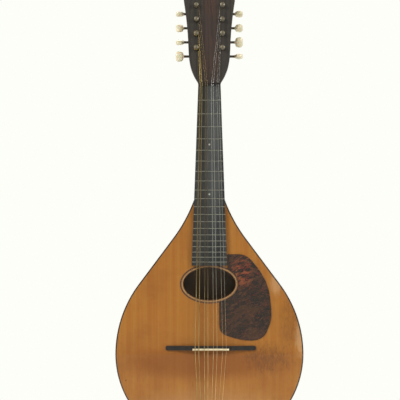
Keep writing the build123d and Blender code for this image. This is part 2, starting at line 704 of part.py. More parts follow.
def tuner_plate(sign):
    """One long plate with two bearing lugs for each worm shaft."""
    inner = sign * (POST_X - 10.2)
    outer = sign * (POST_X + LUG_INNER_FACE + LUG_THICKNESS + 0.6)
    low = FIRST_POST - CENTRE_DISTANCE - 9.6
    high = FIRST_POST + 3 * POST_PITCH + 10.4
    middle = (low + high) / 2
    plate = Pos((inner + outer) / 2, middle, -HEAD_BACK - PLATE_THICKNESS / 2) * Box(
        abs(outer - inner), high - low, PLATE_THICKNESS
    )
    plate = fillet(plate.edges().filter_by(Axis.Z), 3.0)
    for i in range(4):
        y = FIRST_POST + i * POST_PITCH
        plate -= Pos(sign * POST_X, y, -HEAD_BACK) * Cylinder(POST_HOLE_R, 10)
        for lug_side in (-1, 1):
            x = sign * POST_X + lug_side * (LUG_INNER_FACE + LUG_THICKNESS / 2)
            top = WORM_DEPTH + 2.6
            lug = Box(LUG_THICKNESS, 5.2, top - HEAD_BACK)
            plate += Pos(x, y - CENTRE_DISTANCE, -(top + HEAD_BACK) / 2) * lug
            plate -= Pos(x, y - CENTRE_DISTANCE, -WORM_DEPTH) * Rot(0, 90, 0) * Cylinder(JOURNAL_HOLE_R, 4)
    for x, y in plate_screw_places():
        plate -= Pos(x, y, -HEAD_BACK) * Cylinder(SCREW_R + 0.02, 10)
    return HEAD * plate


def wood_screw():
    """Round-head slotted screw, its head towards -Z and its shank in +Z from the origin."""
    head = Cylinder(1.9, 1.0, align=(Align.CENTER, Align.CENTER, Align.MAX))
    head = fillet(head.edges().sort_by(Axis.Z)[0], 0.7)
    head -= Pos(0, 0, -1.0) * Box(5, 0.5, 0.9)
    return head + Cylinder(SCREW_R, SCREW_LENGTH, align=(Align.CENTER, Align.CENTER, Align.MIN))


def build_head_hardware():
    """Tuner plates and all the wood screws of the instrument."""
    save("tuner_plates", tuner_plate(-1), tuner_plate(1))
    screw = wood_screw()
    screws = []
    for x, y in plate_screw_places():
        screws.append(HEAD * Pos(x, y, -HEAD_BACK - PLATE_THICKNESS) * screw)
    for x, y in tail_screw_places():
        screws.append(Pos(x, y, TAIL_Z - 1.1) * screw)
    save("wood_screws", *screws)


build_box()
build_pickguard()
build_bridge()
build_neck()
build_head_trim()
build_fingerboard()
build_nut()
build_strings()
build_tailpiece()
build_tuners()
build_head_hardware()
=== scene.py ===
import json
import logging
from dataclasses import dataclass
from enum import Enum
from math import cos, pi, radians, sin, tan

import bmesh
import bpy
import numpy as np
from bpy.types import Material, Mesh, Node, NodeSocket, Object, World
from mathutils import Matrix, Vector

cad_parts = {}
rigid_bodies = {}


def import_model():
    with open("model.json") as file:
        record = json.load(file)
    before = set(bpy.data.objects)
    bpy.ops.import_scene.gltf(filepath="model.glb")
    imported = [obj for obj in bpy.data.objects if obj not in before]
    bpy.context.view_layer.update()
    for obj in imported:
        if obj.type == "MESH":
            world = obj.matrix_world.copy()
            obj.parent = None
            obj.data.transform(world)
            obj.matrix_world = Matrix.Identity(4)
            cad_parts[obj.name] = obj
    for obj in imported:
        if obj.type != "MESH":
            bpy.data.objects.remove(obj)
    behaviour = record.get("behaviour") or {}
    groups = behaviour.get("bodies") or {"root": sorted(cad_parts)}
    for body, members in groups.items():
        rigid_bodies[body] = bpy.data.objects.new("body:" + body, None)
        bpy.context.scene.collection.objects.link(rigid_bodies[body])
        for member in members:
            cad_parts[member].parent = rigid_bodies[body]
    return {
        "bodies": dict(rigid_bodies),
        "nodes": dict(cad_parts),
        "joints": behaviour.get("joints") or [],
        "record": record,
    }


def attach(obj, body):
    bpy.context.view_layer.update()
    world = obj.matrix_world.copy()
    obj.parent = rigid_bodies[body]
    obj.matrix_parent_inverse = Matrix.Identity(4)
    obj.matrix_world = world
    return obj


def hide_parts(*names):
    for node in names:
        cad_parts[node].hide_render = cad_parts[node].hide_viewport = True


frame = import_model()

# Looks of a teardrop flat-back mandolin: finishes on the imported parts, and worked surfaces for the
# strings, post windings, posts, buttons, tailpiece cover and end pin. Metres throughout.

MM = 0.001
LOG = logging.getLogger("mandolin")

Colour = tuple[float, float, float]
Point = tuple[float, float, float]
Pair = tuple[float, float]
NOWHERE: Point = (0, 0, 0)


# ---- colour and node-graph helpers
def tint(red: int, green: int, blue: int) -> Colour:
    """Linear colour of an 8-bit screen colour."""
    shares = (channel / 255 for channel in (red, green, blue))
    return tuple(((s + 0.055) / 1.055) ** 2.4 if s > 0.04045 else s / 12.92 for s in shares)


@dataclass(frozen=True)
class Spot:
    """Soft ellipsoid region of wear, dirt or another colour: its middle and half sizes in
    metres, how far noise moves its edge as a share of its size, and its value at the middle."""

    centre: Point
    half: Point
    ragged: float = 0.0
    strength: float = 1.0


class Graph:
    """The node tree of a material or world, built by chaining sockets."""

    def __init__(self, owner: Material | World) -> None:
        """Open the owner's node tree."""
        owner.use_nodes = True
        self.owner = owner
        self.nodes, self.links = owner.node_tree.nodes, owner.node_tree.links

    def add(self, kind: str, **settings: object) -> Node:
        """Add a shader node and set its properties."""
        node = self.nodes.new(f"ShaderNode{kind}")
        for key, value in settings.items():
            setattr(node, key, value)
        return node

    def feed(self, socket: NodeSocket, value: object) -> None:
        """Link a socket to another, or give it a constant."""
        if isinstance(value, NodeSocket):
            self.links.new(value, socket)
        elif isinstance(value, tuple) and len(value) == 3 and socket.type == "RGBA":
            socket.default_value = (*value, 1.0)
        else:
            socket.default_value = value

    def wired(self, kind: str, inputs: dict, output: str | int, **settings: object) -> object:
        """Add a node, feed its inputs, and give one of its outputs.

        Args:
            kind: Type of the shader node.
            inputs: Sockets or constants, by the name or number of the input.
            output: Name or number of the output.
            **settings: Properties of the node.

        Returns:
            The output socket.
        """
        node = self.add(kind, **settings)
        for key, value in inputs.items():
            self.feed(node.inputs[key], value)
        return node.outputs[output]

    def place(self, scale: Point = (1, 1, 1), offset: Point = NOWHERE,
              turn: Point = NOWHERE) -> object:
        """Object coordinates, stretched, turned and then moved.

        Args:
            scale: Stretch along each axis, in pattern units for each metre.
            offset: Shift after both.
            turn: Euler turn in degrees.

        Returns:
            The vector socket.
        """
        source = self.add("TexCoord").outputs["Object"]
        return self.mapped(source, scale, offset, turn)

    def mapped(self, source: object, scale: Point, offset: Point = NOWHERE,
               turn: Point = NOWHERE) -> object:
        """Vector socket after a mapping node."""
        inputs = {"Vector": source, "Location": offset, "Scale": scale,
                  "Rotation": tuple(radians(angle) for angle in turn)}
        return self.wired("Mapping", inputs, "Vector")

    def part(self, axis: str) -> object:
        """One of the object coordinates in metres, as a value socket."""
        return self.wired("SeparateXYZ", {0: self.place()}, axis)

    def length(self, vector: object) -> object:
        """Length of a vector, as a value socket."""
        return self.wired("VectorMath", {0: vector}, "Value", operation="LENGTH")

    def noise(self, vector: object, detail: float, rough: float, warp: float) -> object:
        """Fractal noise socket."""
        inputs = {"Vector": vector, "Scale": 1.0, "Detail": detail, "Roughness": rough,
                  "Distortion": warp}
        return self.wired("TexNoise", inputs, "Fac")

    def pattern(self, scale: Point, detail: float = 4.0, rough: float = 0.55, warp: float = 0.0,
                turn: Point = NOWHERE) -> object:
        """Fractal noise over object coordinates with the given stretch and turn."""
        return self.noise(self.place(scale, turn=turn), detail, rough, warp)

    def cells(self, vector: object, scale: float) -> object:
        """Distance to the nearest of many scattered points."""
        return self.wired("TexVoronoi", {"Vector": vector, "Scale": scale}, "Distance")

    def bands(self, vector: object, scale: float, warp: float, detail: float) -> object:
        """Sine bands socket across X."""
        inputs = {"Vector": vector, "Scale": scale, "Distortion": warp, "Detail": detail,
                  "Detail Scale": 1.5}
        return self.wired("TexWave", inputs, "Fac")

    def spread(self, value: object, low: float, high: float, to_low: float = 0.0,
               to_high: float = 1.0) -> object:
        """Smoothly remapped value, held inside the target range."""
        inputs = {"Value": value, "From Min": low, "From Max": high, "To Min": to_low,
                  "To Max": to_high}
        return self.wired("MapRange", inputs, "Result",
                          interpolation_type="SMOOTHSTEP")

    def calc(self, kind: str, first: object, second: object, clamp: bool = False) -> object:
        """Math node socket."""
        return self.wired("Math", {0: first, 1: second}, 0, operation=kind, use_clamp=clamp)

    def times(self, first: object, second: object) -> object:
        """Product of two values."""
        return self.calc("MULTIPLY", first, second)

    def blend(self, amount: object, first: object, second: object) -> object:
        """Colour mix socket: the first colour at amount 0, the second at 1."""
        return self.wired("Mix", {0: amount, 6: first, 7: second}, 2, data_type="RGBA")

    def glaze(self, colour: object, over: object, where: object, low: float, high: float,
              share: float = 1.0, before: float = 0.0) -> object:
        """One colour laid over another by a pattern.

        Args:
            colour: The colour below.
            over: The colour laid on it.
            where: The pattern's value socket.
            low: Pattern value where the upper colour's share starts to change.
            high: Pattern value where it has changed.
            share: Its share from there on.
            before: Its share below the low value.

        Returns:
            The colour socket.
        """
        return self.blend(self.spread(where, low, high, before, share), colour, over)

    def spot(self, spot: Spot) -> object:
        """Value that falls from a spot's strength at its centre to 0 outside it."""
        scale = tuple(1 / size for size in spot.half)
        offset = tuple(-middle / size for middle, size in zip(spot.centre, spot.half))
        reach = self.length(self.place(scale, offset))
        if spot.ragged:
            wobble = self.calc("SUBTRACT", self.pattern((260, 260, 120), 5.0, 0.65), 0.5)
            reach = self.calc("ADD", reach, self.times(wobble, spot.ragged))
        return self.spread(reach, 0.35, 1.0, spot.strength, 0.0)

    def oval_reach(self, centre: Point, half: Pair) -> object:
        """Distance in metres outside an oval in the X-Z plane, by the first-order formula."""
        scale = (1 / half[0], 0, 1 / half[1])
        vector = self.place(scale, (-centre[0] / half[0], 0, -centre[2] / half[1]))
        level = self.length(vector)
        steepness = self.length(self.mapped(vector, scale))
        outside = self.times(level, self.calc("SUBTRACT", level, 1.0))
        return self.calc("DIVIDE", outside, steepness)

    def finish(self, colour: object, roughness: object, relief: object, strength: float,
               depth: float, lacquer: Pair = (0.0, 0.03), **constants: float) -> Material:
        """Wire the shader.

        Args:
            colour: Base colour socket.
            roughness: Roughness socket or constant.
            relief: Height socket for the bump, if any.
            strength: Bump strength.
            depth: Bump distance in metres.
            lacquer: Weight and roughness of the clear coat.
            **constants: Numbers for other shader sockets, named with underscores.

        Returns:
            The finished material.
        """
        weight, gloss = lacquer
        values = {"Base_Color": colour, "Roughness": roughness, "Coat_Weight": weight,
                  "Coat_Roughness": gloss, **constants}
        if relief is not None:
            inputs = {"Strength": strength, "Distance": depth, "Height": relief}
            values["Normal"] = self.wired("Bump", inputs, "Normal")
        shader = self.nodes["Principled BSDF"]
        for key, value in values.items():
            self.feed(shader.inputs[key.replace("_", " ")], value)
        return self.owner


# ---- finishes
@dataclass(frozen=True)
class Finish:
    """Base of every finish: a name and a material built once."""

    name: str

    def build(self, g: Graph) -> Material:
        """Fill the graph; each finish has its own."""
        raise NotImplementedError

    def material(self) -> Material:
        """The material, made on first use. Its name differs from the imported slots' names."""
        label = f"{self.name}_finish"
        made = bpy.data.materials.get(label)
        return made or self.build(Graph(bpy.data.materials.new(label)))


@dataclass(frozen=True)
class AgedSpruce(Finish):
    """Quarter-sawn softwood top under old amber lacquer, worn along the treble edge."""

    pale: Colour = tint(168, 114, 46)
    amber: Colour = tint(152, 91, 27)
    deep: Colour = tint(121, 62, 4)
    # worn-through colour; the painted sheen towards the tail uses it too
    bare: Colour = tint(182, 138, 92)
    grime: Colour = tint(80, 46, 22)
    under_crease: Spot = Spot((-0.01, 0.003, -0.357), (0.15, 0.1, 0.028), 0.3, 0.65)
    # painted sheen: the canted slope towards the tail is lightened towards the worn-through colour
    painted_tail_sheen: Spot = Spot((0.0, 0.008, -0.440), (0.16, 0.1, 0.062), 0.3, 0.45)
    rubbed_edge: Spot = Spot((0.119, 0.0, -0.322), (0.012, 0.05, 0.034), 1.1, 0.8)
    rubbed_shoulder: Spot = Spot((0.086, 0.0, -0.252), (0.010, 0.05, 0.022), 1.0, 0.64)
    smudge: Spot = Spot((0.074, 0.0, -0.349), (0.040, 0.05, 0.024), 1.7, 0.55)
    arm_rest: Spot = Spot((0.104, 0.0, -0.300), (0.020, 0.05, 0.045), 0.9, 0.4)
    picked: Spot = Spot((0.004, 0.0, -0.300), (0.030, 0.05, 0.040), 0.8, 0.22)

    def build(self, g: Graph) -> Material:
        """Fine grain up the body, broad streaks, a darker band under the crease, a painted sheen
        towards the tail, wear and dings.
        """
        grain = g.bands(g.place((1, 0.2, 0.012)), 262.0, 4.0, 3.0)
        fibre = g.pattern((1700, 500, 14), 3.0)
        streak = g.pattern((190, 60, 2.6), 4.0, 0.6)
        silk = g.pattern((46, 40, 170), 4.0, 0.6, 0.6)
        cloud = g.pattern((20, 14, 16), 6.0, 0.62)
        stain = g.pattern((230, 80, 34), 5.0, 0.68, 0.5)
        colour = g.glaze(self.amber, self.pale, streak, 0.30, 0.72, 0.8, 0.2)
        colour = g.glaze(colour, self.deep, cloud, 0.42, 0.72, 0.34)
        colour = g.glaze(colour, self.pale, silk, 0.45, 0.70, 0.16)
        colour = g.glaze(colour, self.deep, grain, 0.55, 1.0, 0.24)
        colour = g.glaze(colour, self.grime, fibre, 0.5, 0.8, 0.20)
        colour = g.glaze(colour, self.grime, stain, 0.60, 0.76, 0.42)
        colour = g.blend(g.spot(self.under_crease), colour, self.deep)
        # painted sheen on the lower slope, in the worn-through colour
        colour = g.blend(g.spot(self.painted_tail_sheen), colour, self.bare)
        worn = g.calc("MAXIMUM", g.spot(self.rubbed_edge), g.spot(self.rubbed_shoulder))
        colour = g.blend(worn, colour, self.bare)
        dirt = g.calc("ADD", g.spot(self.smudge), g.spot(self.arm_rest), True)
        dirt = g.calc("ADD", dirt, g.spot(self.picked), True)
        scuff = g.pattern((420, 60, 150), 5.0, 0.7, turn=(0, 20, 0))
        dirt = g.times(dirt, g.spread(scuff, 0.35, 0.65, 0.25, 1.0))
        colour = g.blend(dirt, colour, self.grime)
        ding = g.spread(g.cells(g.place((1, 0.3, 0.8)), 42.0), 0.02, 0.055, 1.0, 0.0)
        colour = g.blend(g.times(ding, 0.75), colour, self.grime)
        rough = g.spread(cloud, 0.3, 0.7, 0.30, 0.46)
        relief = g.calc("SUBTRACT", g.times(grain, 0.35), g.times(ding, 0.8))
        return g.finish(colour, rough, relief, 0.25, 0.00012, (0.12, 0.22),
                        Specular_IOR_Level=0.35)


@dataclass(frozen=True)
class StainedHardwood(Finish):
    """Dark stained hardwood under lacquer, with pores and figure along Z."""

    light: Colour = tint(96, 50, 26)
    dark: Colour = tint(44, 20, 12)
    pore: Colour = tint(18, 9, 6)
    figure: float = 0.5
    gloss: float = 0.30
    inside: Colour = tint(122, 100, 74)
    bare_before_y: float = -1.0

    def build(self, g: Graph) -> Material:
        """Figure waves, long pores and clouds of stain; bare wood in front of the stated Y."""
        flame = g.pattern((34, 34, 5.5), 6.0, 0.62, 0.9)
        pores = g.pattern((900, 900, 22), 3.0, 0.6)
        cloud = g.pattern((11, 11, 8))
        colour = g.glaze(self.dark, self.light, flame, 0.33, 0.68, 1.0, 1.0 - self.figure)
        colour = g.glaze(colour, self.dark, cloud, 0.4, 0.7, 0.6)
        colour = g.glaze(colour, self.pore, pores, 0.56, 0.72, 0.7)
        if self.bare_before_y > 0:
            edge = self.bare_before_y
            colour = g.glaze(colour, self.inside, g.part("Y"), edge, edge + 0.0004, 0.0, 1.0)
        rough = g.spread(cloud, 0.3, 0.7, self.gloss, self.gloss + 0.14)
        return g.finish(colour, rough, pores, 0.18, 0.00012, (0.2, 0.24),
                        Specular_IOR_Level=0.4)


@dataclass(frozen=True)
class BareSoftwood(Finish):
    """Unfinished inner wood, gone brown with age."""

    light: Colour = tint(200, 158, 108)
    dark: Colour = tint(142, 100, 58)

    def build(self, g: Graph) -> Material:
        """Plain grain and dust."""
        grain = g.pattern((420, 420, 14), 4.0, 0.6)
        dust = g.pattern((40, 40, 40), 5.0)
        colour = g.glaze(self.light, self.dark, grain, 0.35, 0.7)
        colour = g.glaze(colour, self.dark, dust, 0.4, 0.7, 0.5)
        return g.finish(colour, g.spread(dust, 0.3, 0.7, 0.7, 0.9), grain, 0.3, 0.0002)


@dataclass(frozen=True)
class Ebony(Finish):
    """Near-black board wood, polished grey where fingers rub it, with a painted sheen in the same
    strip.
    """

    base: Colour = tint(35, 36, 34)
    worn: Colour = tint(84, 86, 84)
    pore: Colour = tint(15, 14, 13)
    wear: float = 0.6
    # strip just right of the middle: partly finger wear, partly painted sheen
    rubbed: Spot = Spot((0.005, -0.005, -0.085), (0.014, 0.02, 0.15), 0.3)

    def build(self, g: Graph) -> Material:
        """Fine pores along Z with a strip up the middle that is partly rubbed wear and partly
        painted sheen.
        """
        pores = g.pattern((1100, 700, 26), 3.0, 0.6)
        streak = g.pattern((160, 90, 6), 4.0, 0.6)
        rub_and_sheen = g.spot(self.rubbed)
        colour = g.glaze(self.base, self.worn, streak, 0.35, 0.7, 0.5)
        # rubbed wear and painted sheen: the strip is blended to the worn grey
        colour = g.blend(g.times(rub_and_sheen, self.wear), colour, self.worn)
        colour = g.glaze(colour, self.pore, pores, 0.55, 0.75, 0.75)
        rough = g.spread(g.calc("ADD", streak, g.times(rub_and_sheen, -0.3)), 0.2, 0.8, 0.26, 0.48)
        return g.finish(colour, rough, pores, 0.2, 0.00012, (0.12, 0.3))


@dataclass(frozen=True)
class HeadVeneer(Finish):
    """Dark figured veneer with a red-brown heart and near-black flanks."""

    heart: Colour = tint(64, 44, 34)
    flank: Colour = tint(51, 45, 37)
    line: Colour = tint(24, 19, 16)
    middle: Spot = Spot((0.002, 0.008, 0.06), (0.017, 0.06, 0.13), 0.5)

    def build(self, g: Graph) -> Material:
        """Long dark lines that follow the grain, redder along the middle."""
        lines = g.bands(g.place((1, 0.4, 0.05)), 62.0, 11.0, 4.0)
        pores = g.pattern((900, 700, 18), 3.0, 0.6)
        cloud = g.pattern((50, 50, 12), 5.0, 0.6)
        colour = g.blend(g.spot(self.middle), self.flank, self.heart)
        colour = g.glaze(colour, self.line, cloud, 0.38, 0.66, 0.5)
        colour = g.glaze(colour, self.line, lines, 0.6, 1.0, 0.5)
        colour = g.glaze(colour, self.line, pores, 0.56, 0.74, 0.7)
        rough = g.spread(cloud, 0.3, 0.7, 0.26, 0.42)
        return g.finish(colour, rough, pores, 0.16, 0.0001, (0.35, 0.2))


@dataclass(frozen=True)
class Tortoise(Finish):
    """Dark mottled sheet with red and orange flecks in swirling streaks."""

    ground: Colour = tint(62, 39, 24)
    brown: Colour = tint(88, 58, 38)
    red: Colour = tint(118, 42, 30)
    orange: Colour = tint(132, 72, 38)
    smoke: Colour = tint(34, 25, 19)
    brightest: Spot = Spot((0.041, -0.001, -0.240), (0.020, 0.02, 0.026), 0.8)

    def build(self, g: Graph) -> Material:
        """Warped noise streaks over a dark ground, with the brightest flecks near the board."""
        vector = g.place((1, 0.3, 1), turn=(0, 24, 0))
        swirl = g.noise(g.mapped(vector, (70, 70, 150)), 6.0, 0.62, 2.4)
        mottle = g.noise(g.mapped(vector, (48, 48, 90), (3, 1, 7)), 5.0, 0.6, 1.6)
        fleck = g.noise(g.mapped(vector, (130, 90, 260), (9, 2, 4)), 4.0, 0.6, 2.0)
        bright = g.spot(self.brightest)
        colour = g.glaze(self.smoke, self.ground, mottle, 0.40, 0.62)
        colour = g.glaze(colour, self.brown, swirl, 0.48, 0.70, 0.65)
        colour = g.glaze(colour, self.red, fleck, 0.60, 0.70, 0.8)
        warm = g.times(g.spread(swirl, 0.47, 0.60), bright)
        colour = g.blend(g.times(warm, 0.9), colour, self.orange)
        ember = g.times(g.spread(fleck, 0.52, 0.6), bright)
        colour = g.blend(g.times(ember, 0.8), colour, self.red)
        scratch = g.pattern((160, 100, 1500), 3.0, 0.7, turn=(0, -12, 0))
        rough = g.spread(scratch, 0.45, 0.75, 0.16, 0.34)
        return g.finish(colour, rough, scratch, 0.08, 0.0001, (0.5, 0.12))


@dataclass(frozen=True)
class RosetteLines(Finish):
    """Rings of light and dark line let in round the sound hole."""

    centre: Point = (0.0, 0.0, -0.2546)
    half: Pair = (0.0334, 0.0208)
    width: float = 0.0048
    cream: Colour = tint(166, 128, 80)
    amber: Colour = tint(134, 84, 38)
    black: Colour = tint(32, 22, 17)

    def build(self, g: Graph) -> Material:
        """Rings that start at stated millimetres outside the hole, with small gaps of age."""
        rings = ((0.0, self.black), (0.5, self.amber), (1.1, self.cream), (2.2, self.black),
                 (2.5, self.amber), (3.2, self.black), (4.1, self.amber))
        reach = g.calc("DIVIDE", g.oval_reach(self.centre, self.half), self.width)
        ramp = g.add("ValToRGB")
        ramp.color_ramp.interpolation = "CONSTANT"
        stops = ramp.color_ramp.elements
        while len(stops) < len(rings):
            stops.new(0.5)
        for stop, (start, colour) in zip(stops, rings):
            stop.position = start * MM / self.width
            stop.color = (*colour, 1.0)
        g.feed(ramp.inputs["Fac"], reach)
        grime = g.pattern((300, 300, 300), 5.0, 0.65)
        colour = g.glaze(ramp.outputs["Color"], self.black, grime, 0.45, 0.7, 0.55, 0.05)
        rough = g.spread(grime, 0.3, 0.7, 0.3, 0.5)
        return g.finish(colour, rough, grime, 0.12, 0.0001, (0.3, 0.03))


@dataclass(frozen=True)
class Polished(Finish):
    """Moulded or carved light material: ivory-like plastic, bone or pearl."""

    light: Colour = tint(236, 228, 198)
    shade: Colour = tint(196, 172, 118)
    grain_scale: Point = (60, 60, 520)
    sheen: float = 0.5
    soft: float = 0.12
    rough: float = 0.24

    def build(self, g: Graph) -> Material:
        """Fine parallel figure, yellowed in patches, with a little light inside."""
        figure = g.pattern(self.grain_scale, 4.0, 0.6, 0.4)
        age = g.pattern((130, 130, 130), 4.0, 0.6)
        colour = g.glaze(self.light, self.shade, figure, 0.35, 0.7, 0.45)
        colour = g.glaze(colour, self.shade, age, 0.48, 0.72, 0.6)
        rough = g.spread(age, 0.3, 0.7, self.rough, self.rough + 0.14)
        return g.finish(colour, rough, figure, 0.06, 0.0001, (self.sheen, 0.03),
                        Subsurface_Weight=self.soft, Subsurface_Scale=0.002)


@dataclass(frozen=True)
class Metal(Finish):
    """Plated or bare metal with tarnish in patches and fine brushing."""

    bright: Colour = tint(176, 170, 154)
    tarnish: Colour = tint(96, 84, 62)
    shine: float = 0.26
    patchy: float = 0.6
    brush: Point = (500, 500, 3000)

    def build(self, g: Graph) -> Material:
        """Tarnish clouds, brushed lines and small pits."""
        cloud = g.pattern((95, 95, 95), 7.0, 0.68)
        brushed = g.pattern(self.brush, 2.0, 0.5)
        pits = g.spread(g.cells(g.place(), 900.0), 0.05, 0.16, 0.35, 0.0)
        colour = g.glaze(self.bright, self.tarnish, cloud, 0.34, 0.76, self.patchy)
        colour = g.blend(pits, colour, self.tarnish)
        rough = g.calc("ADD", g.spread(cloud, 0.4, 0.7, self.shine, self.shine + 0.25),
                       g.spread(brushed, 0.3, 0.7, 0.0, 0.08))
        return g.finish(colour, rough, brushed, 0.08, 0.00008, Metallic=1.0)


@dataclass(frozen=True)
class StringWire(Finish):
    """String wire; a wound string shows its wrap as fine ridges along its own length."""

    core: Colour
    dull: Colour
    # colour over the board: grime for wound wire, a painted sheen for plain wire
    board_grime_and_sheen: Colour = tint(62, 56, 44)
    over_board: float = 0.8
    over_head: float = 0.5
    headmost: Colour = tint(62, 56, 44)
    pitch: float = 0.00028
    wrapped: bool = True
    groove: Colour = tint(96, 74, 40)

    def build(self, g: Graph) -> Material:
        """Colour by height, with played grime on the wound strings and a painted sheen on the plain
        ones over the board, and ridges by the length in the piece's UV map.
        """
        age = g.pattern((200, 200, 40), 4.0, 0.6)
        height = g.part("Z")
        colour = g.glaze(self.core, self.dull, age, 0.4, 0.7, 0.8)
        # over the board: played grime on the wound strings, a painted silver sheen on the plain ones
        colour = g.glaze(colour, self.board_grime_and_sheen, height, -0.31, -0.22, self.over_board)
        colour = g.glaze(colour, self.headmost, height, 0.0, 0.012, self.over_head)
        relief = None
        if self.wrapped:
            length = g.add("UVMap", uv_map="UVMap").outputs["UV"]
            relief = g.bands(length, 2 * pi / 20 / self.pitch, 0.0, 0.0)
            colour = g.glaze(colour, self.groove, relief, 0.0, 0.5, 0.0, 0.4)
        rough = g.spread(age, 0.3, 0.7, 0.28, 0.42)
        return g.finish(colour, rough, relief, 0.5, 0.00006, Metallic=1.0)


@dataclass(frozen=True)
class Plain(Finish):
    """Dark trim plastic with a little age, for the bindings."""

    base: Colour = tint(40, 26, 20)
    rubbed: Colour = tint(120, 78, 46)
    wear: float = 0.5

    def build(self, g: Graph) -> Material:
        """Scuffs that let the wood's colour through."""
        scuff = g.pattern((90, 90, 60), 6.0, 0.7)
        colour = g.glaze(self.base, self.rubbed, scuff, 0.52, 0.70, self.wear)
        rough = g.spread(scuff, 0.3, 0.7, 0.26, 0.5)
        return g.finish(colour, rough, scuff, 0.1, 0.0001, (0.3, 0.03))


SPRUCE = AgedSpruce("aged_spruce")
BACK_WOOD = StainedHardwood("back_wood")
BACK_PLATE_WOOD = StainedHardwood("back_plate_wood", bare_before_y=0.0577)
NECK_WOOD = StainedHardwood(
    "neck_wood", tint(84, 46, 28), tint(46, 24, 15), tint(20, 10, 7), 0.35, 0.34)
INNER_WOOD = BareSoftwood("inner_wood")
EBONY = Ebony("board_ebony")
DARK_EBONY = Ebony("bridge_ebony", tint(21, 15, 11), tint(36, 27, 20), tint(9, 7, 5), 0.0)
VENEER = HeadVeneer("head_veneer")
TORTOISE = Tortoise("tortoise_sheet")
ROSETTE = RosetteLines("rosette_lines")
BINDING = Plain("dark_binding")
IVORY = Polished("ivory_plastic")
BONE = Polished(
    "aged_bone", tint(226, 212, 176), tint(172, 148, 104), (700, 700, 90), 0.2, 0.08, 0.34)
PEARL = Polished(
    "pearl", tint(190, 190, 180), tint(140, 144, 136), (500, 200, 300), 0.8, 0.2, 0.12)
NICKEL = Metal("aged_nickel")
POST_METAL = Metal("post_nickel", tint(132, 124, 106), tint(70, 60, 46), 0.34, 0.7)
OLD_STEEL = Metal("dark_steel", tint(92, 86, 74), tint(40, 34, 27), 0.34, 0.8)
BRASS = Metal("gear_brass", tint(178, 142, 82), tint(92, 66, 34), 0.3, 0.6)
FRET_METAL = Metal(
    "fret_metal", tint(160, 160, 150), tint(104, 102, 88), 0.2, 0.5, (3000, 500, 500))
BRONZE_WIRE = StringWire(
    "bronze_wound_wire", tint(196, 172, 118), tint(140, 114, 66), tint(116, 100, 62), 0.75, 0.5,
    tint(150, 130, 78))
STEEL_WIRE = StringWire(
    "wound_steel_wire", tint(230, 204, 148), tint(166, 142, 96), pitch=0.0002)
# plain wire: its silver over the board is a painted sheen
PLAIN_WIRE = StringWire(
    "plain_wire", tint(244, 220, 168), tint(186, 164, 122), tint(206, 208, 206), 0.85, 0.85,
    tint(92, 92, 86), wrapped=False)
WIRE_BY_PAIR = (BRONZE_WIRE, STEEL_WIRE, PLAIN_WIRE, PLAIN_WIRE)


# ---- surface helpers
def surface(name: str, points: np.ndarray, wrap: bool = False,
            length: np.ndarray | None = None) -> Object:
    """Mesh over a grid of points: the point (i, j) joins (i+1, j), (i+1, j+1) and (i, j+1).

    Args:
        name: Name of the piece.
        points: Array (rows, columns, 3) in metres.
        wrap: Join the last column to the first.
        length: Distance along the rows in metres, for the UV map's first number.

    Returns:
        The object, its doubles merged and its faces outwards.
    """
    rows, columns = points.shape[:2]
    spans = columns if wrap else columns - 1
    i, j = np.meshgrid(np.arange(rows - 1), np.arange(spans), indexing="ij")
    after = (j + 1) % columns
    below, above = i * columns, (i + 1) * columns
    corners = np.stack([below + j, above + j, above + after, below + after], -1)
    mesh = bpy.data.meshes.new(name)
    mesh.from_pydata(points.reshape(-1, 3).tolist(), [], corners.reshape(-1, 4).tolist())
    along = np.arange(rows) / (rows - 1) if length is None else length
    u = np.stack([along[i], along[i + 1], along[i + 1], along[i]], -1)
    v = np.stack([j, j, j + 1, j + 1], -1) / spans
    layer = mesh.uv_layers.new(name="UVMap")
    layer.data.foreach_set("uv", np.stack([u, v], -1).astype(np.float32).ravel())
    return linked(name, mesh)


def linked(name: str, mesh: Mesh) -> Object:
    """Clean a mesh, smooth it, and put it in the scene as an object."""
    work = bmesh.new()
    work.from_mesh(mesh)
    bmesh.ops.remove_doubles(work, verts=work.verts, dist=1e-7)
    bmesh.ops.dissolve_degenerate(work, edges=work.edges, dist=1e-8)
    bmesh.ops.recalc_face_normals(work, faces=work.faces)
    work.to_mesh(mesh)
    work.free()
    mesh.shade_smooth()
    mesh.set_sharp_from_angle(angle=radians(38))
    piece = bpy.data.objects.new(name, mesh)
    bpy.context.scene.collection.objects.link(piece)
    return piece


def joined(name: str, parts: list[Object]) -> Object:
    """One object from several, by way of one mesh."""
    work = bmesh.new()
    for part in parts:
        work.from_mesh(part.data)
    mesh = bpy.data.meshes.new(name)
    work.to_mesh(mesh)
    work.free()
    for part in parts:
        bpy.data.objects.remove(part)
    return linked(name, mesh)


def circle(sides: int) -> tuple[np.ndarray, np.ndarray]:
    """Cosines and sines of equal steps round a circle."""
    angle = np.arange(sides) * 2 * pi / sides
    return np.cos(angle), np.sin(angle)


def revolved(name: str, profile: list[Pair], place: "Place", sides: int = 40) -> Object:
    """Surface of revolution: each (radius, height) turned about the place's third axis."""
    radius, height = np.array(profile, float).T
    across, back = circle(sides)
    heights = np.repeat(height[:, None], sides, 1)
    points = np.stack([np.outer(radius, across), np.outer(radius, back), heights], -1)
    return surface(name, place.moved(points), wrap=True)


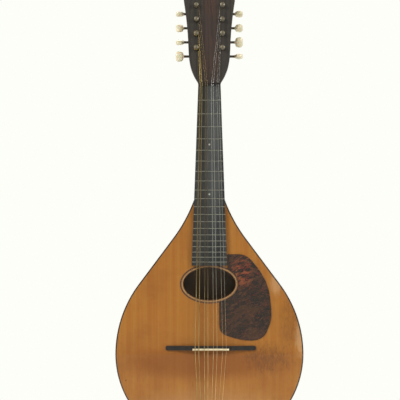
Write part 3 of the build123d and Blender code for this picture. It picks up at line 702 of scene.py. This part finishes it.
def tube(name: str, path: np.ndarray, radius: float, sides: int = 8) -> Object:
    """Round tube along a path: a circle across the path at each point, both ends closed. The
    circle's first axis is carried along by removing its part along the path."""
    step = np.gradient(path, axis=0)
    step /= np.linalg.norm(step, axis=1, keepdims=True)
    side = np.empty_like(path)
    current = np.cross(step[0], (0.31, 0.52, 0.79))
    for k, direction in enumerate(step):
        current = unit(current - direction * current.dot(direction))
        side[k] = current
    other = np.cross(step, side)
    across, back = circle(sides)
    ring = side[:, None] * across[:, None] + other[:, None] * back[:, None]
    start, end = (np.repeat(path[k][None, None], sides, 1) for k in (0, -1))
    points = np.concatenate([start, path[:, None] + ring * radius, end])
    run = np.concatenate([[0.0], np.cumsum(np.linalg.norm(np.diff(path, axis=0), axis=1))])
    return surface(name, points, wrap=True, length=np.concatenate([run[:1], run, run[-1:]]))


def softened(corners: list[Point], reach: float, steps: int = 7) -> np.ndarray:
    """Path through straight runs with each inner corner replaced by a quadratic curve.

    Args:
        corners: The corner points in metres.
        reach: How far from a corner its curve starts.
        steps: Points in each curve.

    Returns:
        Array of points.
    """
    stops = np.array(corners, float)
    points = [stops[0]]
    share = np.linspace(0, 1, steps)[:, None]
    for before, corner, after in zip(stops, stops[1:], stops[2:]):
        start = corner + reach * unit(before - corner)
        end = corner + reach * unit(after - corner)
        points.extend((1 - share) ** 2 * start + 2 * share * (1 - share) * corner
                      + share ** 2 * end)
    return np.array([*points, stops[-1]])


def unit(vector: np.ndarray) -> np.ndarray:
    """Vector of length one."""
    return vector / np.linalg.norm(vector)


def signed_power(value: np.ndarray, power: float) -> np.ndarray:
    """Power of a number's size, with the number's sign."""
    return np.sign(value) * np.abs(value) ** power


@dataclass(frozen=True)
class Place:
    """A local frame: origin in metres, two axes of length one, and a third across both."""

    origin: Point
    first: Point
    second: Point

    @property
    def third(self) -> Point:
        """The axis across the other two."""
        return tuple(np.cross(self.first, self.second))

    def moved(self, points: np.ndarray) -> np.ndarray:
        """Local points in metres put in the object's own frame."""
        axes = np.array([self.first, self.second, self.third], float)
        return np.asarray(points, float) @ axes + np.array(self.origin, float)

    def at(self, x: float, y: float, z: float) -> "Place":
        """The same axes with the origin moved to a local point."""
        return Place(tuple(self.moved((x, y, z))), self.first, self.second)


def dress(frame: dict, finish: Finish, *nodes: str, edge: float = 0.0) -> None:
    """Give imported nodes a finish, and ease their sharp edges by a bevel where asked.

    Args:
        finish: The finish.
        *nodes: Names of the nodes.
        edge: Bevel width in metres.
    """
    for node in nodes:
        piece = frame["nodes"][node]
        piece.data.materials.clear()
        piece.data.materials.append(finish.material())
        if edge:
            weld = piece.modifiers.new("weld", "WELD")
            weld.merge_threshold = 1e-6
            bevel = piece.modifiers.new("eased_edges", "BEVEL")
            bevel.width = edge
            bevel.segments = 2
            bevel.limit_method = "ANGLE"
            bevel.angle_limit = radians(40)
            even = piece.modifiers.new("even_normals", "WEIGHTED_NORMAL")
            even.weight = 100
            even.keep_sharp = True


def coat(piece: Object, finish: Finish, body: str, replaced: str) -> None:
    """Give a new piece its finish, its body and the node that it replaces."""
    piece.data.materials.clear()
    piece.data.materials.append(finish.material())
    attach(piece, body)
    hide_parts(replaced)
    LOG.info("%s rides on %s", piece.name, body)


# ---- sub-assemblies
class Side(Enum):
    """Side of the head, with the sign of its X."""

    BASS = -1
    TREBLE = 1

    @classmethod
    def of(cls, number: int) -> "Side":
        """Side that a string's post is on, with the strings counted from the bass side."""
        return cls.BASS if number < 4 else cls.TREBLE


@dataclass
class Head:
    """Place and tilt of the head's face, which the posts stand on."""

    tilt: float = radians(8.0)
    veneer: float = 0.0015
    nut_thickness: float = 0.004
    post_x: float = 0.0168
    first_post: float = 0.0453
    post_pitch: float = 0.01865

    def face(self) -> Place:
        """Frame of the face: X, up the head, and out of the face."""
        up = (0.0, sin(self.tilt), cos(self.tilt))
        return Place((0.0, -self.veneer, self.nut_thickness), (1.0, 0.0, 0.0), up)

    def up(self, row: int) -> float:
        """How far up the face a row of posts is."""
        return self.first_post + row * self.post_pitch

    def post(self, side: Side, row: int) -> Place:
        """Frame at the foot of a post on the face of the head."""
        return self.face().at(side.value * self.post_x, self.up(row), 0.0)


@dataclass
class Tuner:
    """One geared tuner: post with its string turns, button, worm shaft and gear.

    Attributes:
        rise: Height of the first turn over the head's face.
        button_half: Half sizes along the shaft, and across the wide and thin ways.
        button_powers: Powers of sine and cosine at the ends, in outline and in section.
        collar: Radius by distance along the shaft from the button's inner end.
    """

    head: Head
    side: Side
    row: int
    wire: Finish
    wire_radius: float
    rise: float
    centre_distance: float = 0.00744
    worm_depth: float = 0.01815
    post_radius: float = 0.00302
    waist_radius: float = 0.0025
    post_top: float = 0.0082
    dome: float = 0.0008
    ease: float = 0.0003
    waist: Pair = (0.0022, 0.0060)
    turns_height: float = 0.0034
    turn_spacing: float = 2.04
    gear_face: float = 0.0022
    button_half: Point = (0.0050, 0.0066, 0.0033)
    button_inner_x: float = 0.0334
    button_powers: Point = (0.62, 0.6, 0.85)
    button_turn: float = 0.0
    collar: tuple[Pair, ...] = ((0, -0.0009), (0.0019, -0.0009), (0.0023, -0.0006),
                                (0.0024, 0.0002), (0.0029, 0.0012), (0, 0.0018))

    def name(self) -> str:
        """Name that its nodes start with."""
        return f"{self.side.name.lower()}_{self.row + 1}"

    def build(self, frame: dict) -> None:
        """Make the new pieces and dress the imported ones."""
        name = self.name()
        place = self.head.post(self.side, self.row)
        post = revolved(f"{name}_string_post", self.post_profile(), place)
        coat(post, POST_METAL, f"{name}_spindle", f"{name}_post")
        turns = tube(f"{name}_string_turns", place.moved(self.turns_path()), self.wire_radius)
        coat(turns, self.wire, f"{name}_spindle", f"{name}_post")
        coat(self.button_piece(), IVORY, f"{name}_knob", f"{name}_button")
        dress(frame, BRASS, f"{name}_gear")
        dress(frame, OLD_STEEL, f"{name}_worm_shaft")
        LOG.info("tuner %s built", name)

    def post_profile(self) -> list[Pair]:
        """Radius by height over the face: eased foot, waist and domed cap."""
        foot = self.gear_face / 2 - self.worm_depth
        r, rim = self.post_radius, self.post_top - self.dome
        low, high = self.waist
        cap = [(r * cos(a), rim + self.dome * sin(a)) for a in np.linspace(0, pi / 2, 7)]
        return [(0.0, foot), (r - self.ease, foot), (r, foot + self.ease),
                (r, low - 0.0007), (r - 0.0001, low - 0.0003), (self.waist_radius, low),
                (self.waist_radius, high), (r - 0.0002, high + 0.0003), (r, high + 0.0006), *cap]

    def turns_path(self) -> np.ndarray:
        """Helix of wire round the waist, climbing a little over one diameter a turn, that tucks
        in to the cross hole over its last 0.9 radians."""
        climb = self.turn_spacing * self.wire_radius
        count = min(5.0, self.turns_height / climb) + 0.25
        angle = np.linspace(0, 2 * pi * count, int(26 * count))
        tuck = np.clip((angle - angle[-1] + 0.9) / 0.9, 0, 1) * (2.2 * self.wire_radius)
        reach = self.waist_radius + self.wire_radius - tuck
        start = 0.0 if self.side is Side.BASS else pi
        heading = start - self.side.value * angle
        return np.stack([reach * np.cos(heading), reach * np.sin(heading),
                         self.rise + climb * angle / (2 * pi)], -1)

    def button_piece(self) -> Object:
        """Oval knob: a superellipsoid, a little fuller near its middle, on a round collar."""
        name = self.name()
        place = self.button_place()
        half_x, half_y, half_z = self.button_half
        end_power, outline_power, section_power = self.button_powers
        tilt = np.linspace(-pi / 2, pi / 2, 33)[:, None]
        across, back = circle(48)
        ring = np.cos(tilt).clip(0, 1) ** outline_power
        x = half_x * signed_power(np.sin(tilt), end_power) + 0 * across
        y = half_y * ring * signed_power(across, section_power)
        z = half_z * ring * signed_power(back, section_power)
        fuller = 1 + 0.07 * np.exp(-((x / half_x - 0.25) / 0.4) ** 2)
        body = np.stack([x, y * fuller, z], -1)
        knob = surface(f"{name}_knob_body", place.moved(body), wrap=True)
        along = Place(place.origin, place.second, place.third)
        profile = [(radius, height - half_x) for radius, height in self.collar]
        collar = revolved(f"{name}_knob_collar", profile, along, 28)
        return joined(f"{name}_knob", [knob, collar])

    def button_place(self) -> Place:
        """Frame at the button's middle: outwards, across its wide way, across its thin way."""
        sign = self.side.value
        face = self.head.face()
        up = self.head.up(self.row) - self.centre_distance
        middle = self.button_inner_x + 0.0001 + self.button_half[0]
        centre = face.at(sign * middle, up, -self.worm_depth).origin
        turn = radians(self.button_turn) * sign
        wide = cos(turn) * np.array(face.second) + sin(turn) * np.array(face.third)
        return Place(centre, (float(sign), 0.0, 0.0), tuple(wide))


@dataclass
class Strings:
    """Eight strings in four pairs, from the tailpiece hooks over saddle and nut to the posts.
    A pitch is from pair to pair, a gap is inside a pair, and a point is Y and Z."""

    head: Head
    diameters: tuple[float, ...] = (0.00097, 0.00061, 0.00036, 0.00026)
    rows: tuple[int, ...] = (0, 1, 2, 3, 3, 2, 1, 0)
    nut_pitch: float = 0.0071
    nut_gap: float = 0.0023
    bridge_pitch: float = 0.0118
    bridge_gap: float = 0.0046
    bridge_centre: float = 0.0017
    saddle_point: Pair = (-0.00974, -0.3385)
    nut_point: Pair = (-0.0073, 0.001)
    bend: float = 0.0016
    hook_pitch: float = 0.0039
    hook_up: float = 0.017
    hook_out: float = 0.0019
    loop_half: Pair = (0.0011, 0.0016)
    wrap_turns: int = 9
    wrap_length: float = 0.0075
    rises: Pair = (0.0027, 0.0036)

    def radius(self, number: int) -> float:
        """Radius of a string, counted from the bass side."""
        return self.diameters[number // 2] / 2

    def across(self, number: int, pitch: float, gap: float, centre: float = 0.0) -> float:
        """X of a string where the pairs have the given pitch and gap."""
        return centre + (number // 2 - 1.5) * pitch + (number % 2 - 0.5) * gap

    def build(self) -> None:
        """Make each string with its loop at the hook and its wrapped end."""
        for number in range(len(self.rows)):
            radius = self.radius(number)
            parts = (("run", softened(self.corners(number), self.bend), radius, 10),
                     ("loop", self.loop_path(number), radius * 0.8 + 0.00004, 8),
                     ("wrap", self.wrap_path(number), radius * 0.5 + 0.00005, 6))
            tubes = [tube(f"string_{kind}_{number + 1}", *rest) for kind, *rest in parts]
            piece = joined(f"string_{number + 1}", tubes)
            coat(piece, WIRE_BY_PAIR[number // 2], "instrument", "strings")

    def hook(self, number: int, further: float) -> Place:
        """Frame on the tailpiece at a string's height, so far up from its hook."""
        height = self.hook_out + self.radius(number)
        x = (number - 3.5) * self.hook_pitch
        return Tailpiece().place().at(x, self.hook_up + further, height)

    def corners(self, number: int) -> list[Point]:
        """Corner points of a string: hook, saddle, nut and the inner side of its post."""
        radius = self.radius(number)
        at_saddle = self.across(number, self.bridge_pitch, self.bridge_gap, self.bridge_centre)
        at_nut = self.across(number, self.nut_pitch, self.nut_gap)
        return [self.hook(number, 0.0012).origin,
                (at_saddle, self.saddle_point[0] - radius, self.saddle_point[1]),
                (at_nut, self.nut_point[0] - radius, self.nut_point[1]),
                self.post_end(number)]

    def post_end(self, number: int) -> Point:
        """Where the string meets its turns on the post."""
        side = Side.of(number)
        row = self.rows[number]
        x = -side.value * (Tuner.waist_radius + self.radius(number))
        return self.head.post(side, row).at(x, 0.0004, self.rises[row % 2]).origin

    def loop_path(self, number: int) -> np.ndarray:
        """Loop round the hook: a flat ring that closes on the string."""
        angle = np.linspace(-0.35 * pi, 1.35 * pi, 26)
        wide, long = self.loop_half
        ring = np.stack([wide * np.cos(angle), -long * np.sin(angle), 0 * angle], -1)
        return self.hook(number, -0.0002).moved(ring)

    def wrap_path(self, number: int) -> np.ndarray:
        """Twisted end of the loop: a helix round the first stretch of the string."""
        start, end = (np.array(corner) for corner in self.corners(number)[:2])
        axis = unit(end - start)
        first = unit(np.cross(axis, (1.0, 0.0, 0.0)))
        second = np.cross(axis, first)
        share = np.linspace(0, 1, 120)[:, None]
        angle = share * 2 * pi * self.wrap_turns
        reach = self.radius(number) * 1.35 + 0.00006
        ring = reach * (np.cos(angle) * first + np.sin(angle) * second)
        return start + axis * (share * self.wrap_length) + ring


@dataclass
class Tailpiece:
    """Folded base with hooks, its sliding cover, and the end pin (radius in millimetres by
    depth in metres)."""

    cant: float = radians(6.5)
    crease_z: float = -0.345
    tail_z: float = -0.4659
    cover_half: float = 0.0213
    cover_rise: float = 0.0061
    cover_start: float = -0.0015
    cover_length: float = 0.0370
    cover_power: float = 2 / 5.5
    nose_radius: float = 0.026
    nose_bend: float = 0.0012
    boss_y: float = 0.0155
    boss_half: Pair = (0.0125, 0.0088)
    groove_half: Pair = (0.0155, 0.0115)
    sheet: float = 0.0007
    pin_y: float = 0.037
    pin_knots: tuple[Pair, ...] = (
        (0.0, -0.015), (3.2, -0.0148), (3.2, -0.0002), (6.1, 0.0), (6.2, 0.0006), (5.4, 0.0015),
        (4.3, 0.0028), (3.95, 0.0042), (4.2, 0.0055), (5.4, 0.0070), (6.4, 0.0083),
        (6.55, 0.0094), (6.2, 0.0104), (5.0, 0.0112), (3.2, 0.0117), (1.4, 0.01195),
        (0.0, 0.0120))

    def place(self) -> Place:
        """Frame on the canted top at the tail edge: X, up the slope, and out of the top."""
        fall = (self.crease_z - self.tail_z) * tan(self.cant)
        up = (0.0, -sin(self.cant), cos(self.cant))
        return Place((0.0, fall, self.tail_z), (1.0, 0.0, 0.0), up)

    def build(self, frame: dict) -> None:
        """Make the cover and the pin, and dress the base."""
        dress(frame, NICKEL, "tailpiece_base", edge=0.00015)
        self.cover_piece()
        self.pin_piece()

    def oval(self, x: np.ndarray, y: np.ndarray, half: Pair) -> np.ndarray:
        """Level about the boss's middle: 0 on the oval, more outside and less inside."""
        return (x / half[0]) ** 2 + ((y - self.boss_y) / half[1]) ** 2 - 1

    def cover_piece(self) -> None:
        """Pressed cover: across, a rounded-square half loop; along, straight to a curved nose
        with a raised rim; a shallow oval boss in the middle; then a thickness."""
        across = np.linspace(0, pi, 65)[:, None]
        share = np.concatenate([np.linspace(0, 0.86, 34), np.linspace(0.875, 1, 14)])[None, :]
        half = self.cover_half - 0.0004
        x = half * signed_power(np.cos(across), self.cover_power) + 0 * share
        height = 0.0003 + (self.cover_rise - self.sheet) * np.sin(across) ** self.cover_power
        bulge = np.sqrt(np.maximum(self.nose_radius ** 2 - x ** 2, 0))
        nose = self.cover_length - self.nose_radius + bulge
        y = self.cover_start + (nose - self.cover_start) * share
        rim = 0.00035 * np.exp(-(((nose - y) / self.nose_bend - 1.6) / 0.8) ** 2)
        boss = 0.0008 / (1 + np.exp(self.oval(x, y, self.boss_half) * 7))
        groove = -0.0004 * np.exp(-(self.oval(x, y, self.groove_half) / 0.10) ** 2)
        height = height + (rim + boss + groove) * np.sin(across) ** 0.5
        cover = surface("cover_sheet", self.place().moved(np.stack([x, y, height], -1)))
        solid = cover.modifiers.new("sheet_thickness", "SOLIDIFY")
        solid.thickness = self.sheet
        solid.offset = 0.0
        coat(cover, NICKEL, "cover", "tailpiece_cover")

    def pin_piece(self) -> None:
        """Turned end pin with a waist for a strap and a domed end."""
        foot = (0.0, self.pin_y, self.tail_z - 0.0011)
        place = Place(foot, (1.0, 0.0, 0.0), (0.0, -1.0, 0.0))
        profile = [(radius * MM, depth) for radius, depth in self.pin_knots]
        pin = revolved("end_pin_turned", profile, place, 48)
        coat(pin, DARK_EBONY, "instrument", "end_pin")


@dataclass
class Dressing:
    """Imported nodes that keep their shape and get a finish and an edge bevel."""

    name: str
    table: tuple[tuple[Finish, float, str], ...]

    def build(self, frame: dict) -> None:
        """Dress the nodes of every line of the table."""
        for finish, edge, nodes in self.table:
            dress(frame, finish, *nodes.split(), edge=edge)
        LOG.info("%s dressed", self.name)


SOUNDBOX = Dressing("soundbox", (
    (SPRUCE, 0.0, "soundboard"),
    (BACK_PLATE_WOOD, 0.0, "back_plate"),
    (BACK_WOOD, 0.0, "side_bass side_treble"),
    (INNER_WOOD, 0.0, "neck_block tail_block linings soundboard_braces back_braces"),
    (ROSETTE, 0.0, "rosette"),
    (BINDING, 0.0, "top_binding back_binding"),
    (TORTOISE, 0.0004, "pickguard"),
    (DARK_EBONY, 0.0004, "bridge_base"),
    (BONE, 0.0, "bridge_saddle")))
NECK = Dressing("neck", (
    (NECK_WOOD, 0.0, "neck"),
    (VENEER, 0.0003, "headstock_veneer heel_cap"),
    (EBONY, 0.0004, "fingerboard"),
    (DARK_EBONY, 0.0003, "nut"),
    (FRET_METAL, 0.0, "frets"),
    (PEARL, 0.0, "position_dots"),
    (NICKEL, 0.00012, "tuner_plates wood_screws")))


@dataclass
class Studio:
    """Pale floor, soft lights (place, watts, side) and a camera level with the view's middle."""

    centre: Point = (-0.0121, 0.0, -0.1467)
    view_height: float = 0.5141
    distance: float = 3.2
    sensor: float = 36.0
    floor_z: float = -0.52
    floor_rings: tuple[float, ...] = (0.0, 0.4, 0.75, 0.95)
    paper: Colour = tint(253, 254, 248)
    front_light: float = 0.42
    lights: tuple[tuple[Point, float, float], ...] = (
        ((-1.7, -1.9, 1.3), 44.0, 0.9), ((1.8, -1.8, 0.9), 30.0, 0.9),
        ((0.0, 1.6, 1.6), 12.0, 1.4))

    def build(self) -> None:
        """Make floor, world, lights and camera."""
        self.floor()
        self.world()
        for number, light in enumerate(self.lights, 1):
            self.softbox(f"softbox_{number}", *light)
        self.camera()

    def floor(self) -> None:
        """Round pale floor with a faint tooth."""
        across, back = circle(96)
        reach = np.array(self.floor_rings)[:, None]
        level = np.full((len(reach), len(across)), self.floor_z)
        floor = surface("floor", np.stack([reach * across, reach * back, level], -1), wrap=True)
        g = Graph(bpy.data.materials.new("floor_paper"))
        tooth = g.pattern((60, 60, 60))
        colour = g.glaze(tint(240, 240, 236), tint(246, 246, 242), tooth, 0.3, 0.7)
        floor.data.materials.append(g.finish(colour, 0.8, tooth, 0.05, 0.0003))

    def world(self) -> None:
        """Pale surroundings, dimmer in front of the instrument than behind it."""
        g = Graph(bpy.data.worlds.new("pale_world"))
        direction = g.add("TexCoord").outputs["Generated"]
        depth = g.wired("SeparateXYZ", {0: direction}, "Y")
        sky = g.nodes["Background"]
        g.feed(sky.inputs["Color"], self.paper)
        g.feed(sky.inputs["Strength"], g.spread(depth, -0.5, 0.6, self.front_light))
        bpy.context.scene.world = g.owner

    def softbox(self, name: str, where: Point, power: float, size: float) -> None:
        """Square area light aimed at the instrument."""
        light = bpy.data.lights.new(name, "AREA")
        light.energy = power
        light.size = size
        lamp = bpy.data.objects.new(name, light)
        lamp.location = where
        aim = Vector(self.centre) - Vector(where)
        lamp.rotation_euler = aim.to_track_quat("-Z", "Y").to_euler()
        bpy.context.scene.collection.objects.link(lamp)

    def camera(self) -> None:
        """Long-lens camera that frames the view height at the soundboard's plane."""
        camera = bpy.data.cameras.new("camera")
        camera.sensor_width = self.sensor
        camera.lens = self.sensor * self.distance / self.view_height
        camera.clip_end = 50.0
        view = bpy.data.objects.new("camera", camera)
        view.location = (self.centre[0], self.centre[1] - self.distance, self.centre[2])
        view.rotation_euler = (pi / 2, 0.0, 0.0)
        bpy.context.scene.collection.objects.link(view)
        bpy.context.scene.camera = view
        bpy.context.scene.view_settings.view_transform = "Standard"


BUTTON_TURNS = {Side.BASS: (0.0, 67.0, 40.0, 90.0), Side.TREBLE: (90.0, 31.0, 63.0, 78.0)}


def main() -> None:
    """Build every sub-assembly in order."""
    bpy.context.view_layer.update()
    head = Head()
    strings = Strings(head)
    Studio().build()
    for part in (SOUNDBOX, NECK, Tailpiece()):
        part.build(frame)
    strings.build()
    for number, row in enumerate(strings.rows):
        side = Side.of(number)
        tuner = Tuner(head, side, row, WIRE_BY_PAIR[number // 2], strings.radius(number),
                      strings.rises[row % 2], button_turn=BUTTON_TURNS[side][row])
        tuner.build(frame)


if __name__ == "__main__":
    logging.basicConfig(level=logging.INFO)
    main()
